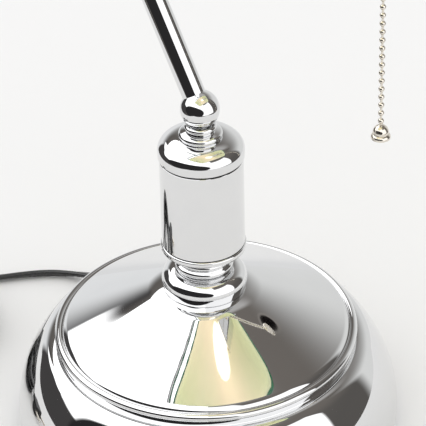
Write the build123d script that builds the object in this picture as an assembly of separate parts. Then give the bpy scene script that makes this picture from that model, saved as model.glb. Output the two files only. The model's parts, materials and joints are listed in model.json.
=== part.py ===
from build123d import *
import math
import os

# A bankers lamp: stepped round base, short thick column, ball, bent tube arm,
# U-shaped yoke and a tilting half-barrel glass shade with a pull-chain switch.
# Millimetres. Z is up, the origin is the middle of the felt on the table, the
# front of the lamp is -Y and the pull chain is on the +X side.

# Clearances
fit_gap = 0.05              # a turned piece on its stud or in its bore
side_gap = 0.3              # beside a piece that turns
wire_gap = 0.4              # round the lead inside its tubes

# Base
base_r = 100.0              # widest radius, low on the shoulder
base_widest_z = 9.0
foot_r = 97.0               # rolled-in bottom edge
foot_z = 1.0
shoulder_top_r = 78.0
shoulder_rise = 44.0        # from the widest ring to the top of the shoulder
shoulder_round = 10.0       # the tighter curve at the shoulder's top
bead_tube_r = 2.2           # bright round bead above the shoulder
bead_drop = 0.8             # how far in from the shoulder's top the bead's foot lies
dome_top_r = 20.1
dome_rise = 25.7
dome_seat_slope = 5.0       # the dome is almost flat where the collar sits on it
dome_seat_reach = 4.9       # half of the round between that seat and the plain cone
dome_edge_slope = 66.0      # and steep where it meets the bead
dome_edge_reach = 2.2
shell_wall = 1.0
felt_r = 92.0
felt_thick = 2.0
plate_r = 95.4
plate_thick = 1.5
weight_r = 62.0
weight_rise = 18.5
weight_hub_r = 24.0
weight_hub_rise = 8.0
nut_pocket_r = 16.0
channel_width = 7.0         # the lead's way through the weight

# Rod, nuts and washers
rod_r = 5.0
rod_bore_r = 3.6
nut_flats = 17.0
nut_thick = 6.0
washer_r = 11.0
washer_thick = 1.6
spacer_r = 8.0
rod_end_gap = 1.4           # thread that stands out of the nut

# Column stack, from the base upwards
collar_r = 21.9
collar_lip_rise = 3.6
collar_rise = 12.0
waist_r = 14.5
waist_rise = 12.2
waist_groove = 1.1
column_r = 21.2
rim_r = 21.85
rim_rise = 3.3
sleeve_length = 50.9
sleeve_wall = 1.3
cap_band_rise = 3.9
cap_dome_rise = 7.7
neck_foot_r = 10.4
neck_r = 8.2
neck_rise = 7.0
ball_r = 9.9
ball_seat = 1.6             # how deep the ball sits in the neck

# Arm and yoke
arm_r = 6.0
arm_wall = 1.2
arm_socket = 3.0            # tube length held by the ball and by the hub
arm_lean = 30.0             # degrees back from upright, then the same forward
arm_lower = 111.6
arm_upper = 41.6
arm_bend_r = 70.0
hub_r = 8.0
hub_length = 26.0
yoke_r = 5.0
yoke_wall = 1.0
yoke_corner_r = 30.0
yoke_reach = 90.0           # from the cross tube forward to the shade's pivot
eye_r = 9.0
eye_thick = 8.0
eye_neck = 11.0             # from the pivot to the sleeve round the tube's end
eye_neck_r = 3.9
eye_sleeve_r = 6.6
eye_sleeve_length = 9.0

# Shade and its pivots
shade_length = 226.0
shade_width = 136.0
shade_height = 90.0
shade_wall = 3.5
shade_end_round = 26.0
pivot_above_rim = 43.0
bush_r = 7.0
bush_flange_r = 11.0
bush_flange = 1.6
bush_ring_r = 10.4
friction_washer_r = 10.0
friction_washer_thick = 2.0
inner_washer_thick = 2.0
inner_washer_r = 9.0
inner_nut_thick = 5.0
stud_bore_r = 3.4
stud_in_knob = 9.0
knob_r = 9.5
knob_length = 15.0
knob_grooves = 20
knob_groove_r = 0.8

# Lampholder, switch and bulb
holder_r = 17.5
holder_wall = 1.5
cap_length = 17.4
cap_neck_r = 8.0
body_length = 26.0
sleeve_r = 16.5
holder_sleeve_length = 28.0
liner_r = 13.9
liner_wall = 0.6
bulb_cap_r = 13.0
bulb_cap_length = 22.0
globe_r = 22.5
bulb_neck_r = 11.5
glass_wall = 1.0
contact_r = 4.0
chain_from_body = 10.0      # from the body's open end to the chain
guide_r = 3.6
guide_bore_r = 2.1
guide_length = 9.0
lever_r = 0.9
lever_head_r = 3.0
lever_above_guide = 12.0    # room for the pull
lever_below_guide = 1.0

# Pull chain
chain_bead_r = 1.6
chain_pitch = 4.65
chain_link_r = 0.6
chain_beads = 41
coupling_r = 2.3
coupling_length = 5.0
bell_r = 5.0
bell_rise = 10.0

# Cord, coil and plug
lead_r = 2.2
cord_r = 2.7
cord_angle = 17.0           # the cord leaves this far from +Y towards +X
cord_exit_z = 8.5
gland_r = 4.6
gland_flange_r = 6.2
gland_flange = 2.0
gland_inside = 6.0
gland_tail = 17.0
gland_tail_end_r = 3.6
cord_points = [             # after the gland: down to the table and along it
    (38.0, 124.3, 8.5),
    (39.0, 133.5, 5.3),
    (36.6, 143.0, 2.9),
    (28.5, 154.2, 2.7),
    (15.5, 165.2, 2.7),
    (-2.5, 178.0, 2.7),
    (-21.5, 189.7, 2.7),
    (-38.8, 199.2, 2.7),
]
coil_mean_r = 31.0
coil_turns_across = 3
coil_turns = 8.25
tie_thick = 0.8
tie_width = 8.0
tie_angle = 300.0
tail_length = 30.0
plug_length = 37.0
plug_width = 26.0
plug_rear_width = 12.0
plug_height = 13.6
pin_r = 2.0
pin_length = 19.0
pin_spacing = 18.6

# Heights that follow from the sizes above
shoulder_top_z = base_widest_z + shoulder_rise
bead_ring_r = shoulder_top_r - bead_drop - bead_tube_r * 0.4
bead_z = shoulder_top_z + 2.75 + bead_tube_r
dome_foot_angle = math.radians(142)
dome_foot_r = bead_ring_r + bead_tube_r * math.cos(dome_foot_angle)
dome_foot_z = bead_z + bead_tube_r * math.sin(dome_foot_angle)
dome_top_z = dome_foot_z + dome_rise
plate_z = felt_thick
weight_z = plate_z + plate_thick
weight_top_z = weight_z + weight_rise
hub_top_z = weight_top_z + weight_hub_rise
rod_bottom_z = weight_top_z - washer_thick - nut_thick - rod_end_gap
collar_top_z = dome_top_z + collar_rise
waist_top_z = collar_top_z + waist_rise
rim_top_z = waist_top_z + rim_rise
sleeve_top_z = rim_top_z + sleeve_length
cap_band_z = sleeve_top_z + cap_band_rise
cap_top_z = cap_band_z + cap_dome_rise
neck_top_z = cap_top_z + neck_rise
ball_z = neck_top_z + ball_r - ball_seat

# The arm's line in its upright plane, and what hangs on it
lean = math.radians(arm_lean)
half_bend = arm_bend_r * math.tan(lean)
elbow_y = (arm_lower + half_bend) * math.sin(lean)
elbow_z = ball_z + (arm_lower + half_bend) * math.cos(lean)
hub_y = elbow_y - (arm_upper + half_bend) * math.sin(lean)
hub_z = elbow_z + (arm_upper + half_bend) * math.cos(lean)
pivot_y = hub_y - yoke_reach
pivot_z = hub_z
rim_z = pivot_z - pivot_above_rim

# Places along the pivot, counted outwards from the middle of the shade
end_outer_x = shade_length / 2
end_inner_x = end_outer_x - shade_wall
ring_inner_x = end_inner_x - bush_flange
inner_washer_x = ring_inner_x - side_gap - inner_washer_thick
flange_outer_x = end_outer_x + bush_flange
eye_inner_x = flange_outer_x + side_gap + friction_washer_thick
eye_outer_x = eye_inner_x + eye_thick
yoke_x = eye_inner_x + eye_thick / 2
knob_x = eye_outer_x + side_gap
stud_outer_x = knob_x + stud_in_knob
cap_x = inner_washer_x - cap_length
body_x = cap_x - body_length
holder_sleeve_x = body_x - holder_sleeve_length
chain_x = body_x + chain_from_body
guide_top_z = pivot_z - holder_r + holder_wall
guide_mouth_z = guide_top_z - guide_length
chain_top_z = guide_mouth_z - lever_below_guide
coupling_top_z = chain_top_z - side_gap
bead_top_z = coupling_top_z - coupling_length - side_gap
bell_top_z = bead_top_z - chain_beads * chain_pitch

at_pivot = Location((0, pivot_y, pivot_z), (0, 90, 0))
back_wise = Vector(math.sin(math.radians(cord_angle)), math.cos(math.radians(cord_angle)), 0)
at_cord_exit = Plane(origin=(0, 0, cord_exit_z), x_dir=(0, 0, 1), z_dir=back_wise)


def turned(*lines):
    """A solid turned about Z from a closed outline in radius and height."""
    outline = [edge for line in lines for edge in line.edges()]
    return revolve(Plane.XZ * make_face(outline), Axis.Z)


def ring(inner_r, outer_r, low, high):
    """A plain ring, or a disc when the inner radius is 0."""
    corners = [(inner_r, low), (outer_r, low), (outer_r, high), (inner_r, high)]
    return turned(Polyline(*corners, close=True))


def nut(bore_r, low, high):
    """A hexagon nut with chamfered corners."""
    body = extrude(Plane.XY.offset(low) * RegularPolygon(nut_flats / 2, 6, major_radius=False), high - low)
    return body & ring(0, nut_flats * 0.56, low, high) - ring(0, bore_r, low - 1, high + 1)


def tube(path, radius, bore=0.0):
    """A round tube swept along a path of lines and arcs."""
    start = Plane(origin=path @ 0, z_dir=path % 0)
    body = sweep(start * Circle(radius), path=path)
    if bore:
        body -= sweep(start * Circle(bore), path=path)
    return body


def both_sides(piece):
    """A piece on the +X side and its twin on the -X side."""
    return Compound(children=[piece, mirror(piece, about=Plane.YZ)])


# Base

def shoulder(inset):
    """The tall rounded shoulder in two tangent arcs, bottom to top, a wall in if asked."""
    across = base_r - shoulder_top_r - inset
    up = shoulder_rise - inset
    upper_r = shoulder_round - inset
    lower_r = (across ** 2 + up ** 2 - 2 * up * upper_r) / (2 * (across - upper_r))
    lower_centre = (base_r - inset - lower_r, base_widest_z)
    upper_centre = (shoulder_top_r, shoulder_top_z - inset - upper_r)
    turn = math.atan2(upper_centre[1] - lower_centre[1], upper_centre[0] - lower_centre[0])
    lower = CenterArc(lower_centre, lower_r, 0, math.degrees(turn))
    upper = CenterArc(upper_centre, upper_r, math.degrees(turn), 90 - math.degrees(turn))
    return Wire([lower, upper])


def dome(inset):
    """The low dome: a round inside the bead, a plain cone and a flatter seat for the collar."""
    flat = math.radians(dome_seat_slope)
    steep = math.radians(dome_edge_slope)
    top = Vector(dome_top_r - inset * math.sin(flat), dome_top_z - inset * math.cos(flat))
    foot = Vector(dome_foot_r - inset * math.sin(steep), dome_foot_z - inset * math.cos(steep))
    inward = Vector(-math.cos(steep), math.sin(steep))
    low_corner = foot + inward * dome_edge_reach
    high_corner = top + Vector(math.cos(flat), -math.sin(flat)) * dome_seat_reach
    along = (high_corner - low_corner).normalized()
    edge = TangentArc(foot, low_corner + along * dome_edge_reach, tangent=inward)
    cone = Line(edge @ 1, high_corner - along * dome_seat_reach)
    seat = TangentArc(cone @ 1, top, tangent=along)
    return Wire([edge, cone, seat])


def base_outside():
    low = TangentArc((base_r, base_widest_z), (foot_r, foot_z), tangent=(0, -1))
    side = shoulder(0)
    bead_foot_r = bead_ring_r + bead_tube_r * 0.4
    bead_foot_z = bead_z - bead_tube_r * math.sqrt(1 - 0.4 ** 2)
    step = Polyline(side @ 1, (bead_foot_r, shoulder_top_z), (bead_foot_r, bead_foot_z))
    over = (bead_ring_r + bead_tube_r * math.cos(math.radians(40)), bead_z + bead_tube_r * math.sin(math.radians(40)))
    bead = ThreePointArc((bead_foot_r, bead_foot_z), over, (dome_foot_r, dome_foot_z))
    top = dome(0)
    close = Polyline(top @ 1, (0, dome_top_z), (0, foot_z), (foot_r, foot_z))
    return turned(low, side, step, bead, top, close)


def base_inside():
    low_r = foot_r - shell_wall
    low = TangentArc((base_r - shell_wall, base_widest_z), (low_r, foot_z), tangent=(0, -1))
    side = shoulder(shell_wall)
    top = dome(shell_wall)
    step = Polyline(side @ 1, (dome_foot_r - shell_wall, shoulder_top_z - shell_wall), top @ 0)
    close = Polyline(top @ 1, (0, dome_top_z - shell_wall), (0, foot_z), (low_r, foot_z))
    return turned(low, side, step, top, close)


def base_shell():
    shell = base_outside() - base_inside()
    shell -= ring(0, rod_r + fit_gap, 0, dome_top_z + 1)
    return shell - at_cord_exit * extrude(Circle(gland_r + fit_gap), base_r + 10)


def base_weight():
    """A cast disc with a hub, a pocket below for the nut, and a channel for the lead."""
    seat_z = weight_top_z
    draft = 3.0
    body = turned(Polyline(
        (0, weight_z), (weight_r, weight_z), (weight_r - draft, weight_top_z), (weight_hub_r + draft, weight_top_z),
        (weight_hub_r, hub_top_z), (0, hub_top_z), close=True))
    body -= ring(0, nut_pocket_r, weight_z - 1, seat_z)
    body -= ring(0, rod_r + fit_gap, weight_z - 1, hub_top_z + 1)
    channel = extrude(Rectangle(2 * channel_width, channel_width), weight_r + 1)
    return body - at_cord_exit * channel


def base_plate():
    return ring(nut_pocket_r, plate_r, plate_z, weight_z)


def base_felt():
    return ring(0, felt_r, 0, felt_thick)


def cord_gland():
    """A flanged bush in the shell's side with a tapering tail round the cord."""
    inner = base_r - gland_inside
    outer = base_r + 1
    tail = outer + gland_flange
    body = turned(Polyline(
        (lead_r + wire_gap, inner), (gland_r, inner), (gland_r, outer), (gland_flange_r, outer),
        (gland_flange_r, tail), (gland_r, tail), (gland_tail_end_r, tail + gland_tail),
        (lead_r + wire_gap, tail + gland_tail), close=True))
    return at_cord_exit * body


# Column

def base_collar():
    """A rounded collar: a hollow lip below and a quarter round up to the waist."""
    lip_z = dome_top_z + collar_lip_rise
    lip = ThreePointArc(
        (dome_top_r, dome_top_z), (collar_r - 0.4, dome_top_z + collar_lip_rise * 0.45), (collar_r, lip_z))
    round_top = ThreePointArc(
        (collar_r, lip_z),
        (collar_r - (collar_r - waist_r) * 0.26, lip_z + (collar_top_z - lip_z) * 0.74),
        (waist_r, collar_top_z))
    bore = rod_r + fit_gap
    close = Polyline((waist_r, collar_top_z), (bore, collar_top_z), (bore, dome_top_z), (dome_top_r, dome_top_z))
    return turned(lip, round_top, close)


def waist_ring():
    """Three turned rings with a groove between each pair, each a little smaller."""
    bore = rod_r + fit_gap
    step = waist_rise / 3
    body = ring(bore, waist_r - waist_groove, collar_top_z, waist_top_z)
    for place in range(3):
        low = collar_top_z + place * step
        bead = Pos(0, 0, low + step / 2) * Torus(waist_r - waist_groove - 0.4 * place, step * 0.4)
        body += bead - ring(0, bore, low, low + step)
    return body & ring(0, waist_r + 2, collar_top_z, waist_top_z)


def column_rim():
    """The disc that closes the column below, with a spigot inside the sleeve."""
    bore = rod_r + fit_gap
    body = ring(bore, rim_r, waist_top_z, rim_top_z)
    body = fillet(body.edges().filter_by(GeomType.CIRCLE).sort_by(SortBy.RADIUS)[-2:], rim_rise * 0.3)
    return body + ring(bore, column_r - sleeve_wall - fit_gap, rim_top_z - 0.5, rim_top_z + 4)


def column_sleeve():
    return ring(column_r - sleeve_wall, column_r, rim_top_z, sleeve_top_z)


def column_cap():
    """A band and a low dome that ends under the neck, with a spigot in the sleeve."""
    bore = rod_r + fit_gap
    crown = ThreePointArc(
        (rim_r, cap_band_z),
        (rim_r - (rim_r - neck_foot_r) * 0.27, cap_band_z + cap_dome_rise * 0.66),
        (neck_foot_r, cap_top_z))
    close = Polyline(
        (neck_foot_r, cap_top_z), (bore, cap_top_z), (bore, sleeve_top_z), (rim_r, sleeve_top_z), (rim_r, cap_band_z))
    return turned(crown, close) + ring(bore, column_r - sleeve_wall - fit_gap, sleeve_top_z - 4, sleeve_top_z + 0.5)


def neck():
    """Two rings under the ball, the lower one wider, and a round seat on top."""
    bore = rod_r + fit_gap
    foot_z = cap_top_z + neck_rise * 0.42
    waist_z = cap_top_z + neck_rise * 0.52
    foot = ThreePointArc(
        (neck_foot_r, cap_top_z), (neck_foot_r + 0.7, (cap_top_z + foot_z) / 2), (neck_foot_r - 0.6, foot_z))
    rest = Polyline((neck_foot_r - 0.6, foot_z), (neck_r - 0.9, waist_z), (neck_r - 0.9, waist_z + 0.6))
    head = ThreePointArc(
        (neck_r - 0.9, waist_z + 0.6), (neck_r, (waist_z + neck_top_z) / 2 + 0.3), (neck_r - 0.8, neck_top_z))
    close = Polyline((neck_r - 0.8, neck_top_z), (bore, neck_top_z), (bore, cap_top_z), (neck_foot_r, cap_top_z))
    seat = Pos(0, 0, ball_z) * Sphere(ball_r + fit_gap)
    return turned(foot, rest, head, close) - seat


def knuckle_ball():
    """The ball on the rod's end, with a socket for the arm."""
    ball = Pos(0, 0, ball_z) * Sphere(ball_r)
    ball -= ring(0, rod_r + fit_gap, neck_top_z - 5, ball_z - rod_r)
    ball -= ring(0, rod_bore_r, neck_top_z - 5, ball_z)
    ball -= Pos(0, 0, ball_z) * Sphere(rod_bore_r)
    arm_way = Plane(origin=(0, 0, ball_z), z_dir=(0, math.sin(lean), math.cos(lean)))
    socket = arm_way.offset(ball_r - arm_socket) * extrude(Circle(arm_r + fit_gap), 20)
    wire_way = arm_way * extrude(Circle(rod_bore_r), 20)
    return ball - socket - wire_way


def threaded_rod():
    return ring(rod_bore_r, rod_r, rod_bottom_z, ball_z - rod_r)


# Arm and yoke

def arm_point(along, forward_half=False):
    """A point on the arm's line, from the ball up or from the hub back down."""
    if forward_half:
        return (0, hub_y + along * math.sin(lean), hub_z - along * math.cos(lean))
    return (0, along * math.sin(lean), ball_z + along * math.cos(lean))


def arm_tube():
    start = arm_point(ball_r - arm_socket + 0.1)
    end = arm_point(yoke_r + 0.4, forward_half=True)
    path = FilletPolyline(start, (0, elbow_y, elbow_z), end, radius=arm_bend_r)
    return tube(path, arm_r, arm_r - arm_wall)


def yoke_hub():
    """A short tee: the yoke passes through it and the arm ends in its boss."""
    barrel = Rot(0, 90, 0) * Cylinder(hub_r, hub_length)
    barrel = fillet(barrel.edges(), 1.5)
    down = Plane(origin=(0, 0, 0), z_dir=(0, math.sin(lean), -math.cos(lean)))
    boss = down * extrude(Circle(hub_r), hub_r + 7)
    socket = down.offset(yoke_r + 0.3) * extrude(Circle(arm_r + fit_gap), 20)
    through = Rot(0, 90, 0) * Cylinder(yoke_r + fit_gap, hub_length + 2)
    wire_way = down * extrude(Circle(arm_r - arm_wall), hub_r)
    return Pos(0, hub_y, hub_z) * (barrel + boss - socket - through - wire_way)


def yoke_tube():
    """A tube bent to a U that reaches forward round the shade."""
    end_y = pivot_y + eye_neck + 1.0
    path = FilletPolyline(
        (-yoke_x, end_y, hub_z), (-yoke_x, hub_y, hub_z), (yoke_x, hub_y, hub_z), (yoke_x, end_y, hub_z),
        radius=yoke_corner_r)
    body = tube(path, yoke_r, yoke_r - yoke_wall)
    down = Plane(origin=(0, hub_y, hub_z), z_dir=(0, math.sin(lean), -math.cos(lean)))
    return body - down * extrude(Circle(yoke_r - yoke_wall - 0.3), 10)


def yoke_eye():
    """The ring at the yoke's end, on a neck from the sleeve round the tube's end."""
    rear = Plane(origin=(yoke_x, pivot_y, pivot_z), x_dir=(1, 0, 0), z_dir=(0, 1, 0))
    body = at_pivot * ring(0, eye_r, eye_inner_x, eye_outer_x)
    body += rear * extrude(Circle(eye_neck_r), eye_neck + 1)
    body += rear.offset(eye_neck) * extrude(Circle(eye_sleeve_r), eye_sleeve_length)
    body -= rear.offset(eye_neck + 1 - fit_gap) * extrude(Circle(yoke_r + fit_gap), eye_sleeve_length)
    body -= rear * extrude(Circle(lead_r + wire_gap), eye_neck + 2)
    return body - at_pivot * ring(0, rod_r + fit_gap, eye_inner_x - 1, eye_outer_x + 1)


def stud(inner_x):
    """A hollow threaded stud through the eye, with a side hole for the lead."""
    body = at_pivot * ring(stud_bore_r, rod_r, inner_x, stud_outer_x)
    side = Plane(origin=(yoke_x, pivot_y, pivot_z), x_dir=(1, 0, 0), z_dir=(0, 1, 0))
    return body - side * extrude(Circle(stud_bore_r - 0.2), rod_r + 1)


def knob():
    """An end knob with a grooved rim, a domed face and a blind threaded bore."""
    outer = knob_x + knob_length
    crown = ThreePointArc((0, outer), (knob_r * 0.55, outer - 0.7), (knob_r - 1.5, outer - 2.5))
    rest = Polyline(
        (knob_r - 1.5, outer - 2.5), (knob_r, outer - 4), (knob_r, knob_x + 3), (knob_r - 2.2, knob_x + 2),
        (knob_r - 2.2, knob_x), (0, knob_x), (0, outer))
    body = turned(crown, rest) - ring(0, rod_r + fit_gap, knob_x - 1, stud_outer_x + 0.5)
    groove = Pos(knob_r + 0.25, 0, knob_x) * extrude(Circle(knob_groove_r), knob_length)
    for place in range(knob_grooves):
        body -= Rot(0, 0, 360 * place / knob_grooves) * groove
    return at_pivot * body


# Shade

def barrel(inset):
    """The shade's outer form, or its hollow when an inset is given."""
    half = shade_width / 2 - inset
    low = rim_z - (1 if inset else 0)
    skirt_z = rim_z + shade_height - shade_width / 2
    arch = [
        Line((pivot_y - half, low), (pivot_y - half, skirt_z)),
        CenterArc((pivot_y, skirt_z), half, 0, 180),
        Line((pivot_y + half, skirt_z), (pivot_y + half, low)),
        Line((pivot_y + half, low), (pivot_y - half, low)),
    ]
    outline = Plane(origin=(-end_outer_x + inset, 0, 0), x_dir=(0, 1, 0), z_dir=(1, 0, 0)) * make_face(arch)
    body = extrude(outline, shade_length - 2 * inset)
    ends = body.edges().filter_by(lambda edge: abs(edge.center().X) > end_outer_x - inset - 0.01)
    arches = [edge for edge in ends if edge.geom_type == GeomType.CIRCLE]
    return fillet(arches, shade_end_round - inset)


def shade_glass():
    hole = at_pivot * ring(0, bush_r + fit_gap, -shade_length, shade_length)
    return barrel(0) - barrel(shade_wall) - hole


def shade_bush():
    """A flanged bush in the shade's end wall that turns on the stud."""
    bore = rod_r + fit_gap
    return at_pivot * (ring(bore, bush_r, ring_inner_x, end_outer_x) + ring(
        bore, bush_flange_r, end_outer_x, flange_outer_x))


def bush_ring():
    return at_pivot * ring(bush_r + fit_gap, bush_ring_r, ring_inner_x, end_inner_x)


# Lampholder, switch and bulb

def lampholder_cap():
    """The bell-shaped cap that screws on the stud."""
    outer = cap_x + cap_length
    bore = rod_r + fit_gap
    flare = ThreePointArc(
        (cap_neck_r, outer - 3), (holder_r - 2.5, outer - cap_length * 0.45), (holder_r, cap_x + 3))
    inner_flare = ThreePointArc(
        (holder_r - holder_wall, cap_x + 3), (holder_r - 2.5 - holder_wall, outer - cap_length * 0.45 - 1.2),
        (cap_neck_r + 1.5, outer - 6))
    outside = Polyline((bore, outer), (cap_neck_r, outer), (cap_neck_r, outer - 3))
    mouth = Polyline(
        (holder_r, cap_x + 3), (holder_r, cap_x), (holder_r - holder_wall, cap_x), (holder_r - holder_wall, cap_x + 3))
    inside = Polyline((cap_neck_r + 1.5, outer - 6), (bore, outer - 6), (bore, outer))
    return at_pivot * turned(outside, flare, mouth, inner_flare, inside)


def lampholder_body():
    """The switch housing, open at both ends, with a hole below for the chain guide."""
    body = at_pivot * ring(holder_r - holder_wall, holder_r, body_x, cap_x)
    hole = Pos(chain_x, pivot_y, pivot_z - holder_r) * Cylinder(guide_r + fit_gap, 10)
    return body - hole


def switch_block():
    """The moulded block in the housing, with an upright slot for the pull lever."""
    block = at_pivot * ring(0, holder_r - holder_wall - 0.2, body_x, cap_x - 1)
    slot_width = 2 * (lever_head_r + side_gap)
    slot = Pos(chain_x, pivot_y, pivot_z - holder_r / 2) * Box(slot_width, slot_width, holder_r * 1.6)
    seat = Pos(chain_x, pivot_y, 0) * ring(0, guide_r + side_gap, guide_mouth_z, guide_top_z + 2 + side_gap)
    wire_way = at_pivot * ring(0, lead_r + wire_gap, cap_x - 8, cap_x)
    return block - slot - seat - wire_way


def lampholder_sleeve():
    """The outer shell round the bulb's thread, with a rolled mouth."""
    body = ring(liner_r + fit_gap, sleeve_r, holder_sleeve_x, body_x)
    mouth = Pos(0, 0, holder_sleeve_x + 1.5) * Torus(sleeve_r - 0.4, 1.4)
    return at_pivot * (body + mouth)


def lampholder_liner():
    return at_pivot * ring(liner_r - liner_wall, liner_r, holder_sleeve_x + 1, body_x)


def lampholder_contact():
    return at_pivot * ring(0, contact_r, body_x - 1.6, body_x)


def chain_guide():
    """The flared spout that the pull chain leaves by."""
    mouth = Polyline(
        (guide_bore_r, guide_top_z + 2), (guide_r, guide_top_z + 2), (guide_r, guide_mouth_z + 2),
        (guide_r + 0.8, guide_mouth_z), (guide_bore_r + 0.6, guide_mouth_z), (guide_bore_r, guide_mouth_z + 2),
        close=True)
    return Pos(chain_x, pivot_y, 0) * turned(mouth)


def pull_lever():
    """The rod that the chain hangs on, with a head above the guide."""
    top = guide_top_z + 2 + lever_above_guide
    body = ring(0, lever_r, chain_top_z, top) + ring(0, lever_head_r, top - 2, top)
    return Pos(chain_x, pivot_y, 0) * body


def bulb_cap():
    inner = body_x - 1.8 - 1.6
    return at_pivot * ring(0, bulb_cap_r, inner - bulb_cap_length, inner)


def bulb_contact():
    inner = body_x - 1.8 - 1.6
    return at_pivot * ring(0, contact_r, inner, inner + 1.6)


def bulb_glass():
    """A round bulb: a globe and a short neck, blown thin."""
    end = body_x - 1.8 - 1.6 - bulb_cap_length
    globe_x = end - globe_r - 4.0
    outside = Pos(0, 0, globe_x) * Sphere(globe_r) + ring(0, bulb_neck_r, globe_x, end)
    inside = Pos(0, 0, globe_x) * Sphere(globe_r - glass_wall) + ring(0, bulb_neck_r - glass_wall, globe_x, end - 1)
    return at_pivot * (outside - inside)


# Pull chain

def chain_coupling():
    """The little sleeve that joins the pull lever to the chain."""
    low = coupling_top_z - coupling_length
    body = ring(0, coupling_r, low, coupling_top_z)
    return Pos(chain_x, pivot_y, 0) * fillet(body.edges().filter_by(GeomType.CIRCLE), coupling_r * 0.4)


def pull_chain():
    """Round beads on short links, turned in one outline down the chain's line."""
    half = math.sqrt(chain_bead_r ** 2 - chain_link_r ** 2)
    top = bead_top_z
    lines = []
    link_start = (chain_link_r, top)
    for bead in range(chain_beads):
        middle = top - (bead + 0.5) * chain_pitch
        bead_top = (chain_link_r, middle + half)
        bead_low = (chain_link_r, middle - half)
        lines.append(Line(link_start, bead_top))
        lines.append(ThreePointArc(bead_top, (chain_bead_r, middle), bead_low))
        link_start = bead_low
    lines.append(Polyline(link_start, (chain_link_r, bell_top_z), (0, bell_top_z), (0, top), (chain_link_r, top)))
    return Pos(chain_x, pivot_y, 0) * turned(*lines)


def chain_bell():
    """The little bell on the chain's end: a round top, a flared brim, a dished foot."""
    crown_r = bell_r * 0.82
    crown_z = bell_top_z - crown_r
    low = bell_top_z - bell_rise
    brim_z = low + 1.0
    round_top = RadiusArc((0, bell_top_z), (crown_r, crown_z), crown_r)
    flare = TangentArc((crown_r, crown_z), (bell_r, brim_z), tangent=(0, -1))
    foot = Polyline(
        (bell_r, brim_z), (bell_r, low), (bell_r - 0.8, low), (bell_r - 1.6, brim_z), (0, brim_z), (0, bell_top_z))
    return Pos(chain_x, pivot_y, 0) * turned(round_top, flare, foot)


# Lead, cord, coil and plug

def gland_end():
    return back_wise * (base_r + 1 + gland_flange + gland_tail) + Vector(0, 0, cord_exit_z)


def inner_lead():
    """The flex from the gland up the rod, the arm and the yoke to the lampholder."""
    points = [
        gland_end(), (0, 0, cord_exit_z), (0, 0, ball_z), (0, elbow_y, elbow_z), (0, hub_y, hub_z),
        (yoke_x, hub_y, hub_z), (yoke_x, pivot_y, pivot_z), (cap_x - 6, pivot_y, pivot_z)]
    radii = [4.5, 12.0, arm_bend_r, 4.5, yoke_corner_r, 4.0]
    return tube(FilletPolyline(*points, radius=radii), lead_r)


def corner_radii(points):
    """The largest tangent arc that each corner of a cord leaves room for."""
    radii = []
    for before, here, after in zip(points, points[1:], points[2:]):
        come = Vector(here) - Vector(before)
        go = Vector(after) - Vector(here)
        half_turn = math.radians(come.get_angle(go)) / 2
        radii.append(0.45 * min(come.length, go.length) / math.tan(half_turn))
    return radii


def cord():
    points = [tuple(gland_end())] + cord_points
    radii = corner_radii(points)
    print("cord radii", [round(radius, 1) for radius in radii])
    path = FilletPolyline(*points, radius=radii)
    print("cord length", round(path.length, 1), "coil", round(coil_turns * 2 * math.pi * coil_mean_r, 1))
    return tube(path, cord_r)


# The coil lies to the left of the cord's last run and winds anticlockwise
last_run = Vector(cord_points[-1]) - Vector(cord_points[-2])
entry_angle = math.degrees(math.atan2(last_run.Y, last_run.X)) - 90
coil_half = coil_turns_across * cord_r
outer_turn_r = coil_mean_r + coil_half - cord_r
coil_x = cord_points[-1][0] - outer_turn_r * math.cos(math.radians(entry_angle))
coil_y = cord_points[-1][1] - outer_turn_r * math.sin(math.radians(entry_angle))
coil_low = tie_thick + 0.1
coil_high = coil_low + 2 * coil_half
coil_inner_r = coil_mean_r - coil_half
coil_outer_r = coil_mean_r + coil_half
exit_angle = entry_angle + 360 * coil_turns
at_coil = Location((coil_x, coil_y, 0), (0, 0, exit_angle))


def cord_coil():
    body = ring(coil_inner_r, coil_outer_r, coil_low, coil_high)
    return at_coil * fillet(body.edges().filter_by(GeomType.CIRCLE), cord_r * 0.9)


def cord_tie():
    """A strap round the coil's bundle."""
    inner_edge = math.sqrt(coil_inner_r ** 2 - (tie_width / 2) ** 2) - 0.1
    outer_edge = coil_outer_r + 0.1
    length = outer_edge - inner_edge
    middle = Pos((inner_edge + outer_edge) / 2, 0, (coil_low + coil_high) / 2)
    height = coil_high - coil_low + 0.2
    loop = Box(length + 2 * tie_thick, tie_width, height + 2 * tie_thick) - Box(length, tie_width + 1, height)
    return Location((coil_x, coil_y, 0), (0, 0, tie_angle)) * middle * loop


def cord_tail():
    """The short end between the coil and the plug."""
    start = Plane(origin=(outer_turn_r, 0, plug_height / 2), x_dir=(1, 0, 0), z_dir=(0, 1, 0))
    return at_coil * (start * extrude(Circle(cord_r), tail_length))


def plug_body():
    """A flat two-pin plug: a tapered body with rounded edges and a ribless tail."""
    rear = tail_length
    body_start = rear + plug_length * 0.3
    front = rear + plug_length
    half = plug_width / 2
    rear_half = plug_rear_width / 2
    plan = Polyline(
        (outer_turn_r - rear_half, body_start), (outer_turn_r - half, body_start + 12), (outer_turn_r - half, front),
        (outer_turn_r + half, front), (outer_turn_r + half, body_start + 12), (outer_turn_r + rear_half, body_start),
        close=True)
    body = extrude(make_face(plan.edges()), plug_height)
    body = fillet(body.edges(), 2.2)
    way = Plane(origin=(outer_turn_r, rear, plug_height / 2), x_dir=(1, 0, 0), z_dir=(0, 1, 0))
    tail = loft([way * Circle(cord_r + 0.8), way.offset(plug_length * 0.34) * Circle(plug_rear_width * 0.46)])
    return at_coil * (body + tail)


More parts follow.
